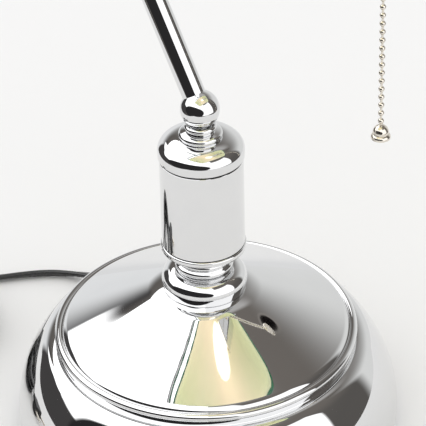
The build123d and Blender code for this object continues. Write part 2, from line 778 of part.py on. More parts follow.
def plug_pins():
    front = tail_length + plug_length
    way = Plane(origin=(outer_turn_r, front, plug_height / 2), x_dir=(1, 0, 0), z_dir=(0, 1, 0))
    pin = way * extrude(Circle(pin_r), pin_length)
    pin = fillet(pin.faces().sort_by(Axis.Y)[-1].edges(), 1.2)
    return at_coil * Compound(children=[Pos(pin_spacing / 2, 0, 0) * pin, Pos(-pin_spacing / 2, 0, 0) * pin])


pieces = {
    "felt_pad": base_felt(),
    "base_plate": base_plate(),
    "base_weight": base_weight(),
    "base_shell": base_shell(),
    "cord_gland": cord_gland(),
    "base_washer": ring(rod_r + fit_gap, washer_r, weight_top_z - washer_thick, weight_top_z),
    "base_nut": nut(rod_r + fit_gap, weight_top_z - washer_thick - nut_thick, weight_top_z - washer_thick),
    "rod_spacer": ring(rod_r + fit_gap, spacer_r, hub_top_z, dome_top_z - shell_wall),
    "threaded_rod": threaded_rod(),
    "base_collar": base_collar(),
    "waist_ring": waist_ring(),
    "column_rim": column_rim(),
    "column_sleeve": column_sleeve(),
    "column_cap": column_cap(),
    "neck": neck(),
    "knuckle_ball": knuckle_ball(),
    "arm_tube": arm_tube(),
    "yoke_hub": yoke_hub(),
    "yoke_tube": yoke_tube(),
    "yoke_eye_right": yoke_eye(),
    "yoke_eye_left": mirror(yoke_eye(), about=Plane.YZ),
    "stud_right": stud(cap_x + cap_length - 8),
    "stud_left": mirror(stud(inner_washer_x - inner_nut_thick - rod_end_gap), about=Plane.YZ),
    "friction_washers": both_sides(
        at_pivot * ring(rod_r + fit_gap, friction_washer_r, flange_outer_x + side_gap, eye_inner_x)),
    "knob_right": knob(),
    "knob_left": mirror(knob(), about=Plane.YZ),
    "shade_glass": shade_glass(),
    "shade_bushes": both_sides(shade_bush()),
    "bush_rings": both_sides(bush_ring()),
    "inner_washers": both_sides(
        at_pivot * ring(rod_r + fit_gap, inner_washer_r, inner_washer_x, inner_washer_x + inner_washer_thick)),
    "inner_nut": mirror(
        at_pivot * nut(rod_r + fit_gap, inner_washer_x - inner_nut_thick, inner_washer_x), about=Plane.YZ),
    "lampholder_cap": lampholder_cap(),
    "lampholder_body": lampholder_body(),
    "switch_block": switch_block(),
    "lampholder_sleeve": lampholder_sleeve(),
    "lampholder_liner": lampholder_liner(),
    "lampholder_contact": lampholder_contact(),
    "chain_guide": chain_guide(),
    "pull_lever": pull_lever(),
    "chain_coupling": chain_coupling(),
    "pull_chain": pull_chain(),
    "chain_bell": chain_bell(),
    "bulb_glass": bulb_glass(),
    "bulb_cap": bulb_cap(),
    "bulb_contact": bulb_contact(),
    "inner_lead": inner_lead(),
    "cord": cord(),
    "cord_coil": cord_coil(),
    "cord_tie": cord_tie(),
    "cord_tail": cord_tail(),
    "plug_body": plug_body(),
    "plug_pins": plug_pins(),
}

os.makedirs("parts", exist_ok=True)
for name, piece in pieces.items():
    export_step(piece, "parts/" + name + ".step")
print("pivot", round(pivot_y, 2), round(pivot_z, 2), "chain x", round(chain_x, 2), "bell foot", round(
    bell_top_z - bell_rise, 2))
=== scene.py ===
import bpy
import json
import math
from mathutils import Matrix, Vector

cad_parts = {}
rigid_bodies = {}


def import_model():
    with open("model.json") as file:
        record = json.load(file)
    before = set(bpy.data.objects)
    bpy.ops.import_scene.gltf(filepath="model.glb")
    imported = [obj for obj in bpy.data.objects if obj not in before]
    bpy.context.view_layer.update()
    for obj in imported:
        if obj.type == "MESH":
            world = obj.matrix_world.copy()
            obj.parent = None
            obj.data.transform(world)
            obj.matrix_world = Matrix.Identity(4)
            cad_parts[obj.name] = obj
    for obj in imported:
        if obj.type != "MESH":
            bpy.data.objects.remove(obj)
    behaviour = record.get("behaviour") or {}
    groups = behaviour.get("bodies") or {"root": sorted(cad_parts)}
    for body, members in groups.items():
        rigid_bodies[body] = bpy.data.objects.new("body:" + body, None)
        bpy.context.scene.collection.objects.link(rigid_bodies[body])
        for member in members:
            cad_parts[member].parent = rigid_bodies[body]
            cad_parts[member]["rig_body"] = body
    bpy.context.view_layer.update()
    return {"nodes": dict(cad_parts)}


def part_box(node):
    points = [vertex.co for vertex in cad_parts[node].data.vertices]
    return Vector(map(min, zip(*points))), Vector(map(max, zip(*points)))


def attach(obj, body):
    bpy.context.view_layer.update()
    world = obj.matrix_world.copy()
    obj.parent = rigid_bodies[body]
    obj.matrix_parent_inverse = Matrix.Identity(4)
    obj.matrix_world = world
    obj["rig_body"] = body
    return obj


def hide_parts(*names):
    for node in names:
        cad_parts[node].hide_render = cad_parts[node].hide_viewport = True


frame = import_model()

mm = 0.001
nodes = frame["nodes"]
print("frame loaded with", len(nodes), "nodes")


# Small helpers for working by hand

def nothingSelected():
    if bpy.context.object and bpy.context.object.mode != "OBJECT":
        bpy.ops.object.mode_set(mode="OBJECT")
    bpy.ops.object.select_all(action="DESELECT")


def onlyThis(piece):
    nothingSelected()
    piece.select_set(True)
    bpy.context.view_layer.objects.active = piece


def low(node):
    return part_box(node)[0]


def high(node):
    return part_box(node)[1]


def middle(node):
    return (Vector(low(node)) + Vector(high(node))) / 2


def arcPoints(centre, radius, startAngle, endAngle, count):
    # points on an arc in radius and height, angles in degrees from straight out
    points = []
    for step in range(count + 1):
        angle = math.radians(startAngle + (endAngle - startAngle) * step / count)
        points.append((centre[0] + radius * math.cos(angle), centre[1] + radius * math.sin(angle)))
    return points


def bowed(start, end, sag, count):
    # points on the arc from start to end that bulges sideways by sag, to the right of the way
    chord = math.dist(start, end)
    radius = (chord * chord / 4 + sag * sag) / (2 * abs(sag))
    side = 1 if sag > 0 else -1
    along = ((end[0] - start[0]) / chord, (end[1] - start[1]) / chord)
    outward = (along[1] * side, -along[0] * side)
    centre = ((start[0] + end[0]) / 2 - outward[0] * (radius - abs(sag)),
              (start[1] + end[1]) / 2 - outward[1] * (radius - abs(sag)))
    half = math.degrees(math.asin(min(1, chord / 2 / radius))) * side
    facing = math.degrees(math.atan2(outward[1], outward[0]))
    return arcPoints(centre, radius, facing - half, facing + half, count)


def softCorner(start, way, end, count):
    # points on the arc that leaves start along way and reaches end
    chord = Vector(end) - Vector(start)
    side = Vector((-way[1], way[0]))
    radius = chord.length_squared / (2 * chord.dot(side))
    centre = Vector(start) + side * radius
    first = math.degrees(math.atan2(start[1] - centre[1], start[0] - centre[0]))
    last = math.degrees(math.atan2(end[1] - centre[1], end[0] - centre[0]))
    turn = (last - first + 180) % 360 - 180
    return arcPoints(centre, abs(radius), first, first + turn, count)


sameSpot = 0.000004     # points closer than this are merged, in metres


def finishMesh(piece, sharpAngle):
    # called in edit mode: merges the seam, turns the normals outward and shades it
    bpy.ops.mesh.select_all(action="SELECT")
    bpy.ops.mesh.remove_doubles(threshold=sameSpot)
    bpy.ops.mesh.dissolve_degenerate(threshold=sameSpot / 2)
    bpy.ops.mesh.select_all(action="SELECT")
    bpy.ops.mesh.normals_make_consistent(inside=False)
    bpy.ops.object.mode_set(mode="OBJECT")
    onlyThis(piece)
    bpy.ops.object.shade_smooth_by_angle(angle=math.radians(sharpAngle))


def turnedPiece(name, outline, turns, centre=(0, 0), sharpAngle=32):
    # an outline in millimetres, radius then height, drawn by extruding one point and spun
    def place(point):
        return Vector(((centre[0] + point[0]) * mm, centre[1] * mm, point[1] * mm))
    nothingSelected()
    bpy.ops.mesh.primitive_plane_add(size=mm, location=place(outline[0]))
    bpy.ops.object.transform_apply()
    piece = bpy.context.object
    piece.name = name
    bpy.ops.object.mode_set(mode="EDIT")
    bpy.ops.mesh.select_all(action="SELECT")
    bpy.ops.mesh.merge(type="CENTER")
    for here, there in zip(outline, outline[1:]):
        bpy.ops.mesh.extrude_region_move(TRANSFORM_OT_translate={"value": place(there) - place(here)})
    bpy.ops.mesh.select_all(action="SELECT")
    bpy.ops.mesh.spin(steps=turns, angle=2 * math.pi, center=(centre[0] * mm, centre[1] * mm, 0), axis=(0, 0, 1))
    finishMesh(piece, sharpAngle)
    return piece


def giveFinish(piece, finish):
    piece.data.materials.clear()
    piece.data.materials.append(finish)


def standsFor(piece, node, finish):
    # the piece takes the node's place and body, and gets its finish
    giveFinish(piece, finish)
    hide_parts(node)
    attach(piece, nodes[node]["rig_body"])
    return piece


def repaint(node, finish):
    giveFinish(nodes[node], finish)


# Camera at the photograph's viewing angle, a long lens looking down at the base and column
camera = {
    "azimuth": -45.0,
    "elevation": 34.1,
    "roll": -1.45,
    "distance": 1.310,
    "lookAt": (0.00364, -0.00364, 0.1284),
    "focalPixels": 2600,
    "framePixels": 426,
    "sensor": 36.0,
}


def placeCamera():
    azimuth, elevation, roll = (math.radians(camera[turn]) for turn in ("azimuth", "elevation", "roll"))
    away = Vector((math.sin(azimuth) * math.cos(elevation), -math.cos(azimuth) * math.cos(elevation),
                   math.sin(elevation)))
    right = Vector((math.cos(azimuth), math.sin(azimuth), 0))
    up = away.cross(right)
    rightRolled = right * math.cos(roll) + up * math.sin(roll)
    upRolled = up * math.cos(roll) - right * math.sin(roll)
    bpy.ops.object.camera_add(location=Vector(camera["lookAt"]) + away * camera["distance"])
    view = bpy.context.object
    view.name = "photoCamera"
    view.rotation_euler = Matrix((rightRolled, upRolled, away)).transposed().to_euler()
    view.data.sensor_width = camera["sensor"]
    view.data.lens = camera["focalPixels"] / camera["framePixels"] * camera["sensor"]
    view.data.clip_start = 0.05
    view.data.clip_end = 40
    bpy.context.scene.camera = view


placeCamera()
print("camera placed")


# Materials

def newFinish(name):
    finish = bpy.data.materials.new(name)
    finish.use_nodes = True
    tree = finish.node_tree
    shader = tree.nodes["Principled BSDF"]
    where = tree.nodes.new("ShaderNodeTexCoord")
    return finish, tree, shader, where


def addWork(tree, kind, operation):
    node = tree.nodes.new("ShaderNode" + kind)
    node.operation = operation
    return node


def setInputs(node, values):
    for name, value in values.items():
        node.inputs[name].default_value = value


def addNoise(tree, where, scale, detail=3.0, roughness=0.5, stretch=None):
    noise = tree.nodes.new("ShaderNodeTexNoise")
    setInputs(noise, {"Scale": scale, "Detail": detail, "Roughness": roughness})
    source = where.outputs["Object"]
    if stretch:
        mapping = tree.nodes.new("ShaderNodeMapping")
        mapping.inputs["Scale"].default_value = stretch
        tree.links.new(source, mapping.inputs["Vector"])
        source = mapping.outputs["Vector"]
    tree.links.new(source, noise.inputs["Vector"])
    return noise


def addRange(tree, source, low, high, fromLow=0.3, fromHigh=0.7):
    spread = tree.nodes.new("ShaderNodeMapRange")
    setInputs(spread, {"From Min": fromLow, "From Max": fromHigh, "To Min": low, "To Max": high})
    tree.links.new(source, spread.inputs["Value"])
    return spread.outputs["Result"]


def addBlend(tree, factor, first, second):
    blend = tree.nodes.new("ShaderNodeMix")
    blend.data_type = "RGBA"
    blend.inputs["A"].default_value = (*first, 1)
    blend.inputs["B"].default_value = (*second, 1)
    tree.links.new(factor, blend.inputs["Factor"])
    return blend.outputs["Result"]


def addBump(tree, shader, height, strength, distance):
    bump = tree.nodes.new("ShaderNodeBump")
    setInputs(bump, {"Strength": strength, "Distance": distance})
    tree.links.new(height, bump.inputs["Height"])
    tree.links.new(bump.outputs["Normal"], shader.inputs["Normal"])


# each metal: two tones, the gloss and its smears, then the scale and depth of its grain
metals = {
    "polishedChrome": ((0.78, 0.782, 0.786), (0.75, 0.753, 0.76), 0.012, 0.035, 90, 0.00001),
    "brightNickel": ((0.82, 0.775, 0.70), (0.74, 0.69, 0.61), 0.14, 0.22, 900, 0.00002),
    "zincSteel": ((0.58, 0.59, 0.60), (0.46, 0.47, 0.48), 0.22, 0.38, 700, 0.00003),
    # painted shade: a near-black finish that stands for the shade inside the sleeve's seams
    "paintedSeamShade": ((0.05, 0.048, 0.045), (0.03, 0.03, 0.03), 0.5, 0.7, 700, 0.00003),
    "plainBrass": ((0.80, 0.62, 0.30), (0.66, 0.48, 0.22), 0.14, 0.3, 600, 0.00003),
}
# each plastic: a dark and a light tone, the gloss and its smears, the scale and depth of its mottle, then its coat
plastics = {
    "glossyFlex": ((0.006, 0.006, 0.007), (0.014, 0.014, 0.015), 0.2, 0.36, 160, 0.00005, 0.3),
    "mouldedPlug": ((0.010, 0.010, 0.011), (0.02, 0.02, 0.021), 0.32, 0.5, 900, 0.00006, 0),
    "fibreWasher": ((0.10, 0.07, 0.05), (0.19, 0.14, 0.10), 0.6, 0.8, 1100, 0.0001, 0),
    "phenolic": ((0.012, 0.010, 0.009), (0.03, 0.024, 0.02), 0.35, 0.5, 500, 0.00005, 0),
    "softStrap": ((0.02, 0.02, 0.02), (0.05, 0.05, 0.05), 0.7, 0.9, 1500, 0.0002, 0),
}


def metalFinish(name):
    # polished or plated: faint smears in the gloss, a very slight waviness
    colour, shadeColour, gloss, smear, grainScale, grainDepth = metals[name]
    finish, tree, shader, where = newFinish(name)
    shader.inputs["Metallic"].default_value = 1.0
    smears = addNoise(tree, where, 28.0, 4.0, 0.6)
    tree.links.new(addRange(tree, smears.outputs["Fac"], gloss, smear), shader.inputs["Roughness"])
    tree.links.new(addBlend(tree, addRange(tree, smears.outputs["Fac"], 0, 1), colour, shadeColour),
                   shader.inputs["Base Color"])
    grain = addNoise(tree, where, grainScale, 2.0)
    addBump(tree, shader, grain.outputs["Fac"], 0.25, grainDepth)
    return finish


def plasticFinish(name):
    dark, light, gloss, smear, scale, depth, coat = plastics[name]
    finish, tree, shader, where = newFinish(name)
    mottle = addNoise(tree, where, scale, 4.0)
    tree.links.new(addBlend(tree, mottle.outputs["Fac"], dark, light), shader.inputs["Base Color"])
    tree.links.new(addRange(tree, mottle.outputs["Fac"], gloss, smear), shader.inputs["Roughness"])
    setInputs(shader, {"Coat Weight": coat, "Coat Roughness": 0.12})
    addBump(tree, shader, mottle.outputs["Fac"], 0.3, depth)
    return finish


def castFinish():
    finish, tree, shader, where = newFinish("castIron")
    rough = addNoise(tree, where, 420, 6.0, 0.65)
    tree.links.new(addBlend(tree, rough.outputs["Fac"], (0.03, 0.03, 0.032), (0.09, 0.088, 0.085)),
                   shader.inputs["Base Color"])
    setInputs(shader, {"Metallic": 0.3, "Roughness": 0.75})
    addBump(tree, shader, rough.outputs["Fac"], 0.8, 0.0004)
    return finish


def feltFinish():
    finish, tree, shader, where = newFinish("pressedFelt")
    fibres = addNoise(tree, where, 1400, 6.0, 0.7)
    tree.links.new(addBlend(tree, fibres.outputs["Fac"], (0.012, 0.02, 0.014), (0.045, 0.06, 0.045)),
                   shader.inputs["Base Color"])
    setInputs(shader, {"Roughness": 0.95, "Sheen Weight": 0.5, "Sheen Roughness": 0.6})
    addBump(tree, shader, fibres.outputs["Fac"], 0.9, 0.0003)
    return finish


def greenGlassFinish():
    # the outer glass layer, deep green with faint drawn streaks
    finish, tree, shader, where = newFinish("greenCasedGlass")
    streaks = addNoise(tree, where, 9, 4.0, 0.6, (0.6, 3.0, 3.0))
    tree.links.new(addBlend(tree, streaks.outputs["Fac"], (0.006, 0.105, 0.045), (0.02, 0.21, 0.09)),
                   shader.inputs["Base Color"])
    setInputs(shader, {"Roughness": 0.06, "Coat Weight": 1.0, "Coat Roughness": 0.02, "Subsurface Weight": 0.15,
                       "Subsurface Radius": (0.002, 0.006, 0.003), "Subsurface Scale": 1.0, "IOR": 1.52})
    waves = addNoise(tree, where, 22, 2.0, 0.5)
    addBump(tree, shader, waves.outputs["Fac"], 0.2, 0.0004)
    return finish


# the white inner layer with painted lamp light: cream round the bulb, darker yellow green towards the ends, and a
# painted glow though the glass is no lamp
opal = {
    "middle": (0.88, 0.77, 0.60),
    "ends": (0.70, 0.74, 0.50),
    "change": (0.06, 0.155),
    "uneven": 0.09,
    "paintedGlow": 0.34,
}


def opalGlassPaintedLightFinish():
    finish, tree, shader, where = newFinish("opalGlass")
    parts = tree.nodes.new("ShaderNodeSeparateXYZ")
    tree.links.new(where.outputs["Object"], parts.inputs["Vector"])
    outward = addWork(tree, "Math", "ABSOLUTE")
    tree.links.new(parts.outputs["X"], outward.inputs[0])
    clouds = addNoise(tree, where, 11, 3.0, 0.6)
    uneven = addWork(tree, "Math", "MULTIPLY_ADD")
    tree.links.new(clouds.outputs["Fac"], uneven.inputs[0])
    uneven.inputs[1].default_value = opal["uneven"]
    tree.links.new(outward.outputs[0], uneven.inputs[2])
    fromMiddle = addRange(tree, uneven.outputs[0], 0, 1, *opal["change"])
    colour = addBlend(tree, fromMiddle, opal["middle"], opal["ends"])
    tree.links.new(colour, shader.inputs["Base Color"])
    # painted glow: the inner glass gives off light of its own colour
    tree.links.new(colour, shader.inputs["Emission Color"])
    setInputs(shader, {"Emission Strength": opal["paintedGlow"], "Roughness": 0.16, "IOR": 1.52})
    addBump(tree, shader, clouds.outputs["Fac"], 0.15, 0.0005)
    return finish


def pearlGlassFinish():
    finish, tree, shader, where = newFinish("pearlBulb")
    frost = addNoise(tree, where, 800, 2.0)
    tree.links.new(addBlend(tree, frost.outputs["Fac"], (0.93, 0.91, 0.86), (0.97, 0.96, 0.93)),
                   shader.inputs["Base Color"])
    setInputs(shader, {"Roughness": 0.22, "Emission Color": (1.0, 0.96, 0.86, 1), "Emission Strength": 0.9})
    addBump(tree, shader, frost.outputs["Fac"], 0.1, 0.00005)
    return finish


chrome = metalFinish("polishedChrome")
nickel = metalFinish("brightNickel")
steel = metalFinish("zincSteel")
brass = metalFinish("plainBrass")
flex = plasticFinish("glossyFlex")
plugPlastic = plasticFinish("mouldedPlug")
fibre = plasticFinish("fibreWasher")
phenolic = plasticFinish("phenolic")
print("materials made")


# Cord: out of the gland, down to the table, to the coil, round it, and to the plug
cordShape = {
    "angle": 17.0,
    "exitHeight": 8.5,
    "exitRadius": 120.0,
    "points": [
        (38.0, 124.3, 8.5), (39.0, 133.5, 5.3), (36.6, 143.0, 2.9), (28.5, 154.2, 2.7), (15.5, 165.2, 2.7),
        (-2.5, 178.0, 2.7), (-21.5, 189.7, 2.7), (-38.8, 199.2, 2.7)],
    "tilt": [0.0, 0.1, 0.3, 0.7, 1.0, 0.8, 0.3, 0.1],
    "halfWidth": 2.7,
    "halfThick": 1.7,
    "outlinePoints": 28,
    "waistDepth": 0.2,
    "waistWidth": 0.28,
    "squareness": 0.8,
    "pointsPerTurn": 14,
    "coilMeanRadius": 31.0,
    "coilLow": 0.9,
    "turns": 8.25,
    "coilStops": [(2, 0), (1, 0), (0, 0), (0, 1), (1, 1), (2, 1), (1, 2), (2, 2), (2, 2), (2, 2)],
    "stepAcross": 0.72,
    "wobbles": ((0.25, 4.1), (0.2, 9.7)),
    "tailLength": 30.0,
    "tailHeights": ((0.15, 14.2), (0.45, 11.0), (0.75, 7.6), (1.0, 6.8)),
    "pointSteps": 8,
    "sharpAngle": 50,
}


def coilPlace():
    # the coil lies to the left of the last run and winds anticlockwise
    last = cordShape["points"][-1]
    before = cordShape["points"][-2]
    entry = math.atan2(last[1] - before[1], last[0] - before[0]) - math.pi / 2
    outer = cordShape["coilMeanRadius"] + 2 * cordShape["halfWidth"]
    return entry, outer, last[0] - outer * math.cos(entry), last[1] - outer * math.sin(entry)


def coilPoints():
    # two layers wound in and out, a third begun on top; each stop is the ring and the layer after a turn
    entry, outer, centreX, centreY = coilPlace()
    width = 2 * cordShape["halfWidth"]
    stops = cordShape["coilStops"]
    stepAcross = cordShape["stepAcross"]
    rings = {2: outer, 1: outer - width, 0: outer - 2 * width}
    points = []
    total = int(cordShape["turns"] * cordShape["pointsPerTurn"])
    for step in range(1, total):
        turn = step / cordShape["pointsPerTurn"]
        number = int(turn)
        share = turn - number
        ease = min(1.0, max(0.0, (share - stepAcross) / (1 - stepAcross)))
        here = stops[number]
        there = stops[number + 1]
        radius = rings[here[0]] + (rings[there[0]] - rings[here[0]]) * ease
        layer = here[1] + (there[1] - here[1]) * ease
        wobble = sum(size * math.sin(turn * pace) for size, pace in cordShape["wobbles"])
        height = cordShape["coilLow"] + cordShape["halfWidth"] + layer * width
        angle = entry + turn * 2 * math.pi
        reach = radius + wobble
        points.append((centreX + reach * math.cos(angle), centreY + reach * math.sin(angle), height))
    return points


def cordRoute():
    angle = math.radians(cordShape["angle"])
    start = (math.sin(angle) * cordShape["exitRadius"], math.cos(angle) * cordShape["exitRadius"],
             cordShape["exitHeight"])
    entry, outer, centreX, centreY = coilPlace()
    leave = entry + cordShape["turns"] * 2 * math.pi
    out = (math.cos(leave), math.sin(leave))
    along = (-math.sin(leave), math.cos(leave))
    tail = []
    for share, height in cordShape["tailHeights"]:
        reach = cordShape["tailLength"] * share
        tail.append((centreX + out[0] * outer + along[0] * reach,
                     centreY + out[1] * outer + along[1] * reach, height))
    return [start] + cordShape["points"] + coilPoints() + tail


def cordCurve(name, bevelled):
    nothingSelected()
    bpy.ops.curve.primitive_nurbs_path_add(location=(0, 0, 0))
    cord = bpy.context.object
    cord.name = name
    cord.data.splines.clear()
    route = cordRoute()
    spline = cord.data.splines.new("NURBS")
    spline.points.add(len(route) - 1)
    for number, point in enumerate(route):
        spline.points[number].co = (point[0] * mm, point[1] * mm, point[2] * mm, 1)
        if number < len(cordShape["points"]):
            spline.points[number].tilt = cordShape["tilt"][number]
    spline.order_u = 3
    spline.use_endpoint_u = True
    cord.data.dimensions = "3D"
    cord.data.resolution_u = cordShape["pointSteps"]
    cord.data.twist_mode = "Z_UP"
    if bevelled:
        cord.data.bevel_mode = "OBJECT"
        cord.data.bevel_object = bevelled
    return cord


def twinOutline():
    # the section of a flat twin flex: two round wires with a shallow waist between them
    half = cordShape["halfWidth"]
    thick = cordShape["halfThick"]
    points = []
    for step in range(cordShape["outlinePoints"]):
        angle = 2 * math.pi * step / cordShape["outlinePoints"]
        sideways = math.cos(angle)
        waist = 1 - cordShape["waistDepth"] * math.exp(-(sideways / cordShape["waistWidth"]) ** 2)
        points.append((half * math.copysign(abs(sideways) ** cordShape["squareness"], sideways),
                       thick * math.sin(angle) * waist))
    nothingSelected()
    bpy.ops.curve.primitive_bezier_circle_add(radius=mm, location=(0, 0, 0))
    outline = bpy.context.object
    outline.name = "twinOutline"
    outline.data.splines.clear()
    spline = outline.data.splines.new("POLY")
    spline.points.add(len(points) - 1)
    for number, point in enumerate(points):
        spline.points[number].co = (point[0] * mm, point[1] * mm, 0, 1)
    spline.use_cyclic_u = True
    return outline


def makeCord():
    outline = twinOutline()
    guide = cordCurve("cordGuide", None)
    line = bpy.data.meshes.new_from_object(guide.evaluated_get(bpy.context.evaluated_depsgraph_get()))
    bpy.data.objects.remove(guide)
    cord = cordCurve("twinFlex", outline)
    onlyThis(cord)
    bpy.ops.object.convert(target="MESH")
    cord = bpy.context.object
    bpy.ops.object.mode_set(mode="EDIT")
    bpy.ops.mesh.select_all(action="DESELECT")
    bpy.ops.mesh.select_mode(type="EDGE")
    bpy.ops.mesh.select_non_manifold()
    bpy.ops.mesh.edge_face_add()
    bpy.ops.mesh.select_mode(type="VERT")
    finishMesh(cord, cordShape["sharpAngle"])
    bpy.data.objects.remove(outline)
    giveFinish(cord, flex)
    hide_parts("cord", "cord_coil", "cord_tail")
    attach(cord, nodes["cord"]["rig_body"])


makeCord()
repaint("plug_body", plugPlastic)
repaint("plug_pins", nickel)
repaint("cord_tie", plasticFinish("softStrap"))
repaint("cord_gland", plugPlastic)
print("cord laid")


# Base: one polished pressing, with the bead turned on it and a thin wall underneath
baseShape = {
    "foot": (97.0, 1.0),
    "widest": (100.0, 9.0),
    "lowRadius": 12.17,
    "shoulderTop": (78.0, 53.0),
    "shoulderRound": 10.0,
    "bead": 2.2,
    "beadRing": 76.32,
    "beadHeight": 57.95,
    "beadEnd": 142,
    "beadFoot": 0.4,
    "beadSeam": (0.25, 0.3),
    "domeTopRadius": 20.1,
    "seatSlope": 5.0,
    "seatReach": 4.9,
    "edgeSlope": 66.0,
    "edgeReach": 2.2,
    "wall": 1.0,
    "hole": 5.05,
    "turns": 256,
    "sharpAngle": 38,
}


def domeOutline(inset):
    # from the bead up: a tight round, a plain cone and a flatter seat for the collar
    shape = baseShape
    flat = math.radians(shape["seatSlope"])
    steep = math.radians(shape["edgeSlope"])
    beadEnd = math.radians(shape["beadEnd"])
    foot = Vector((shape["beadRing"] + shape["bead"] * math.cos(beadEnd) - inset * math.sin(steep),
                   shape["beadHeight"] + shape["bead"] * math.sin(beadEnd) - inset * math.cos(steep)))
    top = Vector((shape["domeTopRadius"] - inset * math.sin(flat),
                  high("base_shell")[2] / mm - inset * math.cos(flat)))
    inward = Vector((-math.cos(steep), math.sin(steep)))
    outward = Vector((math.cos(flat), -math.sin(flat)))
    lowCorner = foot + inward * shape["edgeReach"]
    highCorner = top + outward * shape["seatReach"]
    along = (highCorner - lowCorner).normalized()
    outline = softCorner(foot, inward, lowCorner + along * shape["edgeReach"], 16)
    outline += softCorner(top, outward, highCorner - along * shape["seatReach"], 24)[::-1]
    return outline


def baseOutline():
    shape = baseShape
    widestRadius, widestHeight = shape["widest"]
    topRadius, topHeight = shape["shoulderTop"]
    footRadius, footHeight = shape["foot"]
    beadRing, bead, wall = shape["beadRing"], shape["bead"], shape["wall"]
    # the shoulder is a large arc and a small one that meet smoothly
    across = widestRadius - topRadius
    rise = topHeight - widestHeight
    upper = shape["shoulderRound"]
    lower = (across ** 2 + rise ** 2 - 2 * rise * upper) / (2 * (across - upper))
    lowerCentre = (widestRadius - lower, widestHeight)
    upperCentre = (topRadius, topHeight - upper)
    turn = math.degrees(math.atan2(upperCentre[1] - lowerCentre[1], upperCentre[0] - lowerCentre[0]))
    footTurn = math.degrees(math.asin((widestHeight - footHeight) / shape["lowRadius"]))
    outline = arcPoints((widestRadius - shape["lowRadius"], widestHeight), shape["lowRadius"], -footTurn, 0, 6)
    outline += arcPoints(lowerCentre, lower, 0, turn, 28)[1:]
    outline += arcPoints(upperCentre, upper, turn, 90, 14)[1:]
    # the bead stands on a short upright wall
    upright = beadRing + bead * shape["beadFoot"]
    seamOut, seamUp = shape["beadSeam"]
    outline += [(upright + seamOut, topHeight), (upright, topHeight + seamUp)]
    beadStart = -math.degrees(math.acos(shape["beadFoot"]))
    outline += arcPoints((beadRing, shape["beadHeight"]), bead, beadStart, shape["beadEnd"], 20)
    outline += domeOutline(0)[1:]
    # back down inside, one wall thinner
    inside = domeOutline(wall)[::-1]
    outline += [(shape["hole"], outline[-1][1]), (shape["hole"], inside[0][1])] + inside
    outline.append((inside[-1][0], topHeight - wall))
    outline += arcPoints(upperCentre, upper - wall, 90, turn, 5)
    outline += arcPoints(lowerCentre, lower - wall, turn, 0, 8)[1:]
    outline += [(footRadius - wall, footHeight), outline[0]]
    return outline


polishedBase = turnedPiece("polishedBase", baseOutline(), turns=baseShape["turns"],
                           sharpAngle=baseShape["sharpAngle"])
standsFor(polishedBase, "base_shell", chrome)
print("base turned")


# Column: collar, waist, rim, sleeve, cap, neck and ball, each on its own node's place
columnShape = {
    "bore": 5.05,
    "turns": 192,
    "collarRadius": 21.9,
    "collarFoot": 20.1,
    "collarLip": 3.6,
    "lipInset": 0.6,
    "lipEdge": (0.25, 0.2),
    "collarBulge": 2.7,
    "waist": 14.5,
    "waistGroove": 1.1,
    "waistRings": 3,
    "waistTaper": 0.4,
    "waistTop": 0.8,
    "ringSink": 0.6,
    "ringShare": 0.4,
    "ringAngle": 52,
    "rim": 21.85,
    "rimRise": 3.3,
    "rimEdge": 0.3,
    "sleeve": 21.2,
    "sleeveWall": 1.3,
    "sleeveEdge": 0.12,
    "seamDepth": 0.9,
    "lowSeam": 0.5,
    "highSeam": 1.1,
    "capBand": 3.9,
    "capEdge": 0.5,
    "neckFoot": 10.4,
    "neck": 8.2,
    "ball": 9.9,
    "ballSink": 1.6,
}


def heights(node):
    return low(node)[2] / mm, high(node)[2] / mm


def collarOutline():
    shape = columnShape
    foot, top = heights("base_collar")
    radius = shape["collarRadius"]
    lip = foot + shape["collarLip"]
    edgeIn, edgeUp = shape["lipEdge"]
    outline = [(shape["collarFoot"], foot), (radius - shape["lipInset"] - edgeIn, foot),
               (radius - shape["lipInset"], foot + edgeUp), (radius, lip)]
    outline += bowed((radius, lip), (shape["waist"], top), shape["collarBulge"], 18)[1:]
    outline += [(shape["bore"], top), (shape["bore"], foot), outline[0]]
    return outline


def waistOutline():
    shape = columnShape
    foot, top = heights("waist_ring")
    groove = shape["waist"] - shape["waistGroove"]
    step = (top - foot) / shape["waistRings"]
    outline = [(groove, foot)]
    for number in range(shape["waistRings"]):
        centre = (groove - shape["waistTaper"] * number - shape["ringSink"], foot + (number + 0.5) * step)
        outline += arcPoints(centre, step * shape["ringShare"] + shape["ringSink"],
                             -shape["ringAngle"], shape["ringAngle"], 12)
    outline += [(groove - shape["waistTop"], top), (shape["bore"], top), (shape["bore"], foot), outline[0]]
    return outline


def rimOutline():
    shape = columnShape
    foot = heights("column_rim")[0]
    top = foot + shape["rimRise"]
    edge = shape["rimRise"] * shape["rimEdge"]
    inner = shape["rim"] - edge
    outline = [(shape["bore"], foot)] + arcPoints((inner, foot + edge), edge, -90, 0, 8)
    outline += arcPoints((inner, top - edge), edge, 0, 90, 8)
    outline += [(shape["bore"], top), (shape["bore"], foot)]
    return outline


def sleeveOutline():
    # stepped in at both ends, so that a narrow seam shows against the rim and the cap; the step faces get painted
    # shade to make it dark
    shape = columnShape
    foot, top = heights("column_sleeve")
    radius = shape["sleeve"]
    inner = radius - shape["sleeveWall"]
    deep = radius - shape["seamDepth"]
    edge = shape["sleeveEdge"]
    lowStep = foot + shape["lowSeam"]
    highStep = top - shape["highSeam"]
    return [(inner, foot), (deep, foot), (deep, lowStep), (radius - edge, lowStep), (radius, lowStep + edge),
            (radius, highStep - edge), (radius - edge, highStep), (deep, highStep), (deep, top), (inner, top),
            (inner, foot)]


